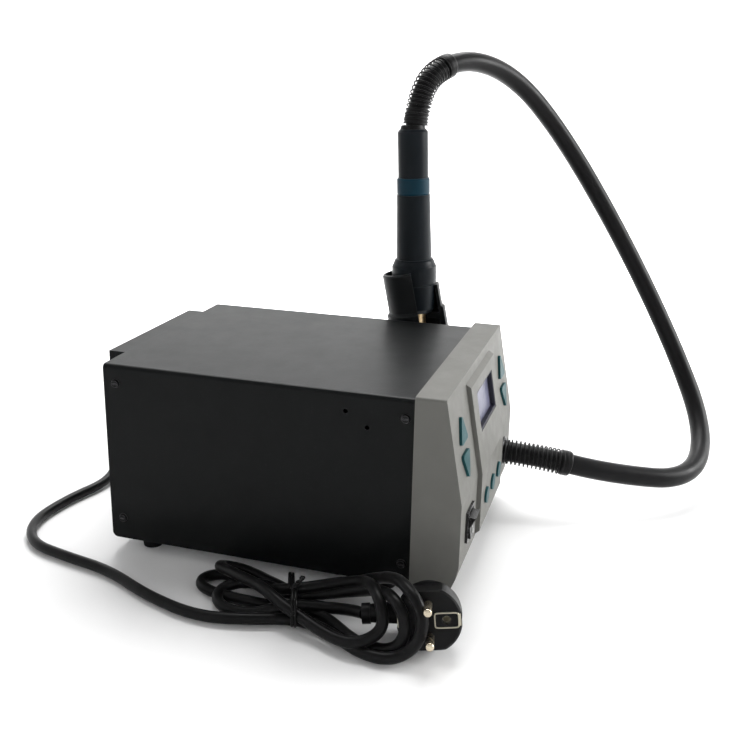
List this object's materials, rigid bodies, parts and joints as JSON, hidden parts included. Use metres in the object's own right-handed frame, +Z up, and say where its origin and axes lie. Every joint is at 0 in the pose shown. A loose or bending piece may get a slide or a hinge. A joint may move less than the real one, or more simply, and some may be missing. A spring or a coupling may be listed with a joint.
{
  "type": "hot air station",
  "caption": "Digital hot air rework station: black metal case, grey front with display and buttons, air hose to a handle in a side holder, coiled mains cord.",
  "frame": {"origin": "on the bench, under the middle of the case body", "axes": "+X to the right seen from the front, towards the handle holder; the front faces -Y; +Z up"},
  "size_m": [0.416, 0.471, 0.3354],
  "materials": {
    "case_black": "fine black powder coat",
    "zinc_sheet": "zinc plated sheet",
    "black_screw": "black oxide pan heads",
    "zinc_screw": "zinc plated",
    "rubber": "moulded rubber",
    "bezel_grey": "light warm grey, fine texture",
    "display": "pale violet-grey liquid crystal window",
    "board_parts": "black moulding",
    "circuit_board": "green solder mask",
    "teal_button": "teal rubbery plastic",
    "switch_black": "black nylon",
    "hose_rubber": "black silicone rubber",
    "handle_slate": "dark slate heat-proof plastic",
    "ring_blue": "dark teal blue",
    "barrel_steel": "heat-tinted stainless tube",
    "ceramic": "ceramic heater former",
    "holder_black": "black nylon, satin",
    "cord_black": "black PVC sheath",
    "tie_black": "black coated twist tie",
    "plug_black": "black moulded PVC",
    "pin_nickel": "bright brass pins",
    "contact_brass": "brass strip",
    "pump_steel": "laminated and plated steel",
    "coil_tape": "yellow winding tape",
    "heat_sink": "extruded fins"
  },
  "bodies": {
    "root": {"air_hose": "hose_rubber", "air_manifold": "board_parts", "air_tube": "hose_rubber", "base_tray": "zinc_sheet", "chassis_screws": "zinc_screw", "control_board": "circuit_board", "cord_hank": "cord_black", "cord_tie": "tie_black", "cover_screws": "black_screw", "display_module": "board_parts", "display_window": "display", "foot_front_left": "rubber", "foot_front_right": "rubber", "foot_rear_left": "rubber", "foot_rear_right": "rubber", "front_bezel": "bezel_grey", "front_plate": "zinc_sheet", "fuse_holder": "board_parts", "heat_sink": "heat_sink", "holder_bracket": "holder_black", "holder_cup": "holder_black", "holder_screws": "black_screw", "hose_outlet_ring": "switch_black", "key_board": "circuit_board", "mains_cord": "cord_black", "mains_gland": "cord_black", "outlet_spring": "hose_rubber", "plug_body": "plug_black", "plug_earth_contacts": "contact_brass", "plug_pins": "pin_nickel", "power_board": "circuit_board", "pump_coils": "coil_tape", "pump_cores": "pump_steel", "pump_diaphragms": "rubber", "pump_frame": "pump_steel", "pump_heads": "board_parts", "pump_mounts": "rubber", "rear_hood": "case_black", "rear_panel": "case_black", "switch_housing": "switch_black", "tact_switches": "board_parts", "top_cover": "case_black", "transformer": "coil_tape"},
    "handle": {"handle_spring": "hose_rubber", "handle_bushing": "hose_rubber", "handle_sleeve": "handle_slate", "handle_ring": "ring_blue", "handle_grip": "handle_slate", "handle_collar": "handle_slate", "heater_barrel": "barrel_steel", "heater_core": "ceramic"},
    "rocker": {"power_rocker": "switch_black"},
    "air_up": {"air_up_button": "teal_button"},
    "air_down": {"air_down_button": "teal_button"},
    "temp_up": {"temp_up_button": "teal_button"},
    "temp_down": {"temp_down_button": "teal_button"},
    "channel_1": {"channel_1_button": "teal_button"},
    "channel_2": {"channel_2_button": "teal_button"},
    "channel_3": {"channel_3_button": "teal_button"},
    "armature": {"pump_armature": "pump_steel"}
  },
  "joints": [
    {"name": "handle_lift", "type": "slide", "parent": "root", "child": "handle", "axis": [0, 0.0429, 0.9991], "range_m": [0, 0.105], "deforming": ["air_hose"]},
    {"name": "power_rocker", "type": "hinge", "parent": "root", "child": "rocker", "pos_m": [-0.0675, -0.119, 0.05], "axis": [-1, 0, 0], "range_deg": [0, 20]},
    {"name": "air_up_press", "type": "slide", "parent": "root", "child": "air_up", "axis": [0, 0.9843, -0.1768], "range_m": [0, 0.001], "stiffness_N_per_m": 300},
    {"name": "air_down_press", "type": "slide", "parent": "root", "child": "air_down", "axis": [0, 0.9843, -0.1768], "range_m": [0, 0.001], "stiffness_N_per_m": 300},
    {"name": "temp_up_press", "type": "slide", "parent": "root", "child": "temp_up", "axis": [0, 0.9843, -0.1768], "range_m": [0, 0.001], "stiffness_N_per_m": 300},
    {"name": "temp_down_press", "type": "slide", "parent": "root", "child": "temp_down", "axis": [0, 0.9843, -0.1768], "range_m": [0, 0.001], "stiffness_N_per_m": 300},
    {"name": "channel_1_press", "type": "slide", "parent": "root", "child": "channel_1", "axis": [0, 1, 0], "range_m": [0, 0.001], "stiffness_N_per_m": 300},
    {"name": "channel_2_press", "type": "slide", "parent": "root", "child": "channel_2", "axis": [0, 1, 0], "range_m": [0, 0.001], "stiffness_N_per_m": 300},
    {"name": "channel_3_press", "type": "slide", "parent": "root", "child": "channel_3", "axis": [0, 1, 0], "range_m": [0, 0.001], "stiffness_N_per_m": 300},
    {"name": "pump_stroke", "type": "slide", "parent": "root", "child": "armature", "axis": [1, 0, 0], "range_m": [-0.0015, 0.0015], "stiffness_N_per_m": 800, "deforming": ["pump_diaphragms"]}
  ]
}
